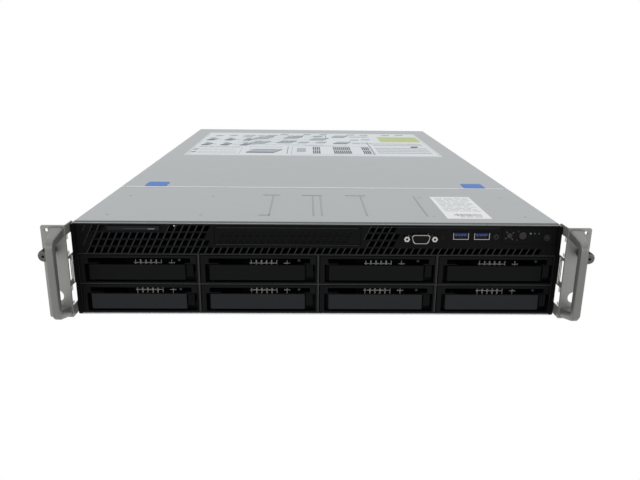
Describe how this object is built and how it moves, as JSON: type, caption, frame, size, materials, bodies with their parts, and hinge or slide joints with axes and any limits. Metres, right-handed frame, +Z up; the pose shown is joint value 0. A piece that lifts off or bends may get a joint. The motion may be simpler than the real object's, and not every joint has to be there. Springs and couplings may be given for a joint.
{
  "type": "rack server",
  "caption": "Rack-mounted 2U server with hot-swap 3.5-inch drive carriers, slanted-hole front grille, rack handles, sliding top cover, fans, main board and plug-in power supplies.",
  "frame": {"origin": "bottom centre of the whole object, in the plane of its underside", "axes": "+Z up, +Y from the front of the server to its rear, +X to the viewer's right when facing the front"},
  "size_m": [0.4826, 0.783, 0.0879],
  "materials": {
    "plated_steel": "zinc-plated sheet, fine satin",
    "black_steel": "black powder coat",
    "ear_steel": "plated sheet, satin",
    "handle_grey": "satin grey",
    "black_plastic": "moulded black, fine texture",
    "carrier_plastic": "moulded black",
    "lever_plastic": "moulded black, satin",
    "button_plastic": "moulded dark grey",
    "tab_plastic": "moulded dark grey",
    "fan_plastic": "glass-filled black",
    "rotor_plastic": "glass-filled black",
    "latch_plastic": "moulded green",
    "blue_pad": "soft blue film",
    "port_metal": "nickel-plated",
    "screw_metal": "nickel-plated, knurled",
    "circuit_board": "green solder mask",
    "heatsink_aluminium": "extruded",
    "riser_steel": "zinc-plated sheet",
    "supply_steel": "plated sheet, satin"
  },
  "bodies": {
    "chassis": {"chassis_tray": "plated_steel", "drive_cage": "black_steel", "front_cover": "plated_steel", "front_grille": "black_plastic", "optical_filler": "black_plastic", "front_ports": "port_metal", "control_panel": "black_plastic", "rack_ears": "ear_steel", "rack_handles": "handle_grey", "backplane": "circuit_board", "fan_frames": "fan_plastic", "motherboard": "circuit_board", "rear_connectors": "port_metal", "heatsinks": "heatsink_aluminium", "memory_modules": "circuit_board", "air_duct": "fan_plastic", "riser_cages": "riser_steel"},
    "rear_cover": {"rear_cover": "plated_steel", "cover_touch_pads": "blue_pad"},
    "power_button": {"power_button": "button_plastic"},
    "id_button": {"id_button": "button_plastic"},
    "reset_button": {"reset_button": "button_plastic"},
    "nmi_button": {"nmi_button": "button_plastic"},
    "info_tab": {"info_tab": "tab_plastic"},
    "thumbscrew_left": {"thumbscrew_left": "screw_metal"},
    "thumbscrew_right": {"thumbscrew_right": "screw_metal"},
    "drive_carrier_1": {"drive_carrier_1": "carrier_plastic"},
    "carrier_lever_1": {"carrier_lever_1": "lever_plastic"},
    "carrier_latch_1": {"carrier_latch_1": "lever_plastic"},
    "drive_carrier_2": {"drive_carrier_2": "carrier_plastic"},
    "carrier_lever_2": {"carrier_lever_2": "lever_plastic"},
    "carrier_latch_2": {"carrier_latch_2": "lever_plastic"},
    "drive_carrier_3": {"drive_carrier_3": "carrier_plastic"},
    "carrier_lever_3": {"carrier_lever_3": "lever_plastic"},
    "carrier_latch_3": {"carrier_latch_3": "lever_plastic"},
    "drive_carrier_4": {"drive_carrier_4": "carrier_plastic"},
    "carrier_lever_4": {"carrier_lever_4": "lever_plastic"},
    "carrier_latch_4": {"carrier_latch_4": "lever_plastic"},
    "drive_carrier_5": {"drive_carrier_5": "carrier_plastic"},
    "carrier_lever_5": {"carrier_lever_5": "lever_plastic"},
    "carrier_latch_5": {"carrier_latch_5": "lever_plastic"},
    "drive_carrier_6": {"drive_carrier_6": "carrier_plastic"},
    "carrier_lever_6": {"carrier_lever_6": "lever_plastic"},
    "carrier_latch_6": {"carrier_latch_6": "lever_plastic"},
    "drive_carrier_7": {"drive_carrier_7": "carrier_plastic"},
    "carrier_lever_7": {"carrier_lever_7": "lever_plastic"},
    "carrier_latch_7": {"carrier_latch_7": "lever_plastic"},
    "drive_carrier_8": {"drive_carrier_8": "carrier_plastic"},
    "carrier_lever_8": {"carrier_lever_8": "lever_plastic"},
    "carrier_latch_8": {"carrier_latch_8": "lever_plastic"},
    "fan_rotor_1": {"fan_rotor_1": "rotor_plastic"},
    "fan_rotor_2": {"fan_rotor_2": "rotor_plastic"},
    "fan_rotor_3": {"fan_rotor_3": "rotor_plastic"},
    "fan_rotor_4": {"fan_rotor_4": "rotor_plastic"},
    "fan_rotor_5": {"fan_rotor_5": "rotor_plastic"},
    "fan_rotor_6": {"fan_rotor_6": "rotor_plastic"},
    "power_supply_1": {"power_supply_1": "supply_steel"},
    "psu_latch_1": {"psu_latch_1": "latch_plastic"},
    "power_supply_2": {"power_supply_2": "supply_steel"},
    "psu_latch_2": {"psu_latch_2": "latch_plastic"}
  },
  "joints": [
    {"name": "rear_cover_slide", "type": "slide", "parent": "chassis", "child": "rear_cover", "axis": [0, 1, 0], "range_m": [0, 0.5]},
    {"name": "power_button_press", "type": "slide", "parent": "chassis", "child": "power_button", "axis": [0, 1, 0], "range_m": [0, 0.0008], "stiffness_N_per_m": 400},
    {"name": "id_button_press", "type": "slide", "parent": "chassis", "child": "id_button", "axis": [0, 1, 0], "range_m": [0, 0.0008], "stiffness_N_per_m": 400},
    {"name": "reset_button_press", "type": "slide", "parent": "chassis", "child": "reset_button", "axis": [0, 1, 0], "range_m": [0, 0.0008], "stiffness_N_per_m": 400},
    {"name": "nmi_button_press", "type": "slide", "parent": "chassis", "child": "nmi_button", "axis": [0, 1, 0], "range_m": [0, 0.0008], "stiffness_N_per_m": 400},
    {"name": "info_tab_slide", "type": "slide", "parent": "chassis", "child": "info_tab", "axis": [0, -1, 0], "range_m": [0, 0.055]},
    {"name": "thumbscrew_left_turn", "type": "hinge", "parent": "chassis", "child": "thumbscrew_left", "pos_m": [-0.23255, -0.3585, 0.0663], "axis": [0, 1, 0], "continuous": true},
    {"name": "thumbscrew_right_turn", "type": "hinge", "parent": "chassis", "child": "thumbscrew_right", "pos_m": [0.23255, -0.3585, 0.0663], "axis": [0, 1, 0], "continuous": true},
    {"name": "drive_carrier_1_slide", "type": "slide", "parent": "chassis", "child": "drive_carrier_1", "axis": [0, -1, 0], "range_m": [0, 0.17]},
    {"name": "carrier_lever_1_swing", "type": "hinge", "parent": "drive_carrier_1", "child": "carrier_lever_1", "pos_m": [-0.2049, -0.3425, 0.0413], "axis": [0, 0, -1], "range_deg": [0, 60]},
    {"name": "carrier_latch_1_press", "type": "slide", "parent": "drive_carrier_1", "child": "carrier_latch_1", "axis": [1, 0, 0], "range_m": [0, 0.002], "stiffness_N_per_m": 400},
    {"name": "drive_carrier_2_slide", "type": "slide", "parent": "chassis", "child": "drive_carrier_2", "axis": [0, -1, 0], "range_m": [0, 0.17]},
    {"name": "carrier_lever_2_swing", "type": "hinge", "parent": "drive_carrier_2", "child": "carrier_lever_2", "pos_m": [-0.0963, -0.3425, 0.0413], "axis": [0, 0, -1], "range_deg": [0, 60]},
    {"name": "carrier_latch_2_press", "type": "slide", "parent": "drive_carrier_2", "child": "carrier_latch_2", "axis": [1, 0, 0], "range_m": [0, 0.002], "stiffness_N_per_m": 400},
    {"name": "drive_carrier_3_slide", "type": "slide", "parent": "chassis", "child": "drive_carrier_3", "axis": [0, -1, 0], "range_m": [0, 0.17]},
    {"name": "carrier_lever_3_swing", "type": "hinge", "parent": "drive_carrier_3", "child": "carrier_lever_3", "pos_m": [0.0123, -0.3425, 0.0413], "axis": [0, 0, -1], "range_deg": [0, 60]},
    {"name": "carrier_latch_3_press", "type": "slide", "parent": "drive_carrier_3", "child": "carrier_latch_3", "axis": [1, 0, 0], "range_m": [0, 0.002], "stiffness_N_per_m": 400},
    {"name": "drive_carrier_4_slide", "type": "slide", "parent": "chassis", "child": "drive_carrier_4", "axis": [0, -1, 0], "range_m": [0, 0.17]},
    {"name": "carrier_lever_4_swing", "type": "hinge", "parent": "drive_carrier_4", "child": "carrier_lever_4", "pos_m": [0.1209, -0.3425, 0.0413], "axis": [0, 0, -1], "range_deg": [0, 60]},
    {"name": "carrier_latch_4_press", "type": "slide", "parent": "drive_carrier_4", "child": "carrier_latch_4", "axis": [1, 0, 0], "range_m": [0, 0.002], "stiffness_N_per_m": 400},
    {"name": "drive_carrier_5_slide", "type": "slide", "parent": "chassis", "child": "drive_carrier_5", "axis": [0, -1, 0], "range_m": [0, 0.17]},
    {"name": "carrier_lever_5_swing", "type": "hinge", "parent": "drive_carrier_5", "child": "carrier_lever_5", "pos_m": [-0.2049, -0.3425, 0.0131], "axis": [0, 0, -1], "range_deg": [0, 60]},
    {"name": "carrier_latch_5_press", "type": "slide", "parent": "drive_carrier_5", "child": "carrier_latch_5", "axis": [1, 0, 0], "range_m": [0, 0.002], "stiffness_N_per_m": 400},
    {"name": "drive_carrier_6_slide", "type": "slide", "parent": "chassis", "child": "drive_carrier_6", "axis": [0, -1, 0], "range_m": [0, 0.17]},
    {"name": "carrier_lever_6_swing", "type": "hinge", "parent": "drive_carrier_6", "child": "carrier_lever_6", "pos_m": [-0.0963, -0.3425, 0.0131], "axis": [0, 0, -1], "range_deg": [0, 60]},
    {"name": "carrier_latch_6_press", "type": "slide", "parent": "drive_carrier_6", "child": "carrier_latch_6", "axis": [1, 0, 0], "range_m": [0, 0.002], "stiffness_N_per_m": 400},
    {"name": "drive_carrier_7_slide", "type": "slide", "parent": "chassis", "child": "drive_carrier_7", "axis": [0, -1, 0], "range_m": [0, 0.17]},
    {"name": "carrier_lever_7_swing", "type": "hinge", "parent": "drive_carrier_7", "child": "carrier_lever_7", "pos_m": [0.0123, -0.3425, 0.0131], "axis": [0, 0, -1], "range_deg": [0, 60]},
    {"name": "carrier_latch_7_press", "type": "slide", "parent": "drive_carrier_7", "child": "carrier_latch_7", "axis": [1, 0, 0], "range_m": [0, 0.002], "stiffness_N_per_m": 400},
    {"name": "drive_carrier_8_slide", "type": "slide", "parent": "chassis", "child": "drive_carrier_8", "axis": [0, -1, 0], "range_m": [0, 0.17]},
    {"name": "carrier_lever_8_swing", "type": "hinge", "parent": "drive_carrier_8", "child": "carrier_lever_8", "pos_m": [0.1209, -0.3425, 0.0131], "axis": [0, 0, -1], "range_deg": [0, 60]},
    {"name": "carrier_latch_8_press", "type": "slide", "parent": "drive_carrier_8", "child": "carrier_latch_8", "axis": [1, 0, 0], "range_m": [0, 0.002], "stiffness_N_per_m": 400},
    {"name": "fan_rotor_1_spin", "type": "hinge", "parent": "chassis", "child": "fan_rotor_1", "pos_m": [-0.1775, -0.1015, 0.038], "axis": [0, 1, 0], "continuous": true},
    {"name": "fan_rotor_2_spin", "type": "hinge", "parent": "chassis", "child": "fan_rotor_2", "pos_m": [-0.1065, -0.1015, 0.038], "axis": [0, 1, 0], "continuous": true},
    {"name": "fan_rotor_3_spin", "type": "hinge", "parent": "chassis", "child": "fan_rotor_3", "pos_m": [-0.0355, -0.1015, 0.038], "axis": [0, 1, 0], "continuous": true},
    {"name": "fan_rotor_4_spin", "type": "hinge", "parent": "chassis", "child": "fan_rotor_4", "pos_m": [0.0355, -0.1015, 0.038], "axis": [0, 1, 0], "continuous": true},
    {"name": "fan_rotor_5_spin", "type": "hinge", "parent": "chassis", "child": "fan_rotor_5", "pos_m": [0.1065, -0.1015, 0.038], "axis": [0, 1, 0], "continuous": true},
    {"name": "fan_rotor_6_spin", "type": "hinge", "parent": "chassis", "child": "fan_rotor_6", "pos_m": [0.1775, -0.1015, 0.038], "axis": [0, 1, 0], "continuous": true},
    {"name": "power_supply_1_slide", "type": "slide", "parent": "chassis", "child": "power_supply_1", "axis": [0, 1, 0], "range_m": [0, 0.19]},
    {"name": "psu_latch_1_press", "type": "slide", "parent": "power_supply_1", "child": "psu_latch_1", "axis": [1, 0, 0], "range_m": [0, 0.0016], "stiffness_N_per_m": 500},
    {"name": "power_supply_2_slide", "type": "slide", "parent": "chassis", "child": "power_supply_2", "axis": [0, 1, 0], "range_m": [0, 0.19]},
    {"name": "psu_latch_2_press", "type": "slide", "parent": "power_supply_2", "child": "psu_latch_2", "axis": [1, 0, 0], "range_m": [0, 0.0016], "stiffness_N_per_m": 500}
  ]
}
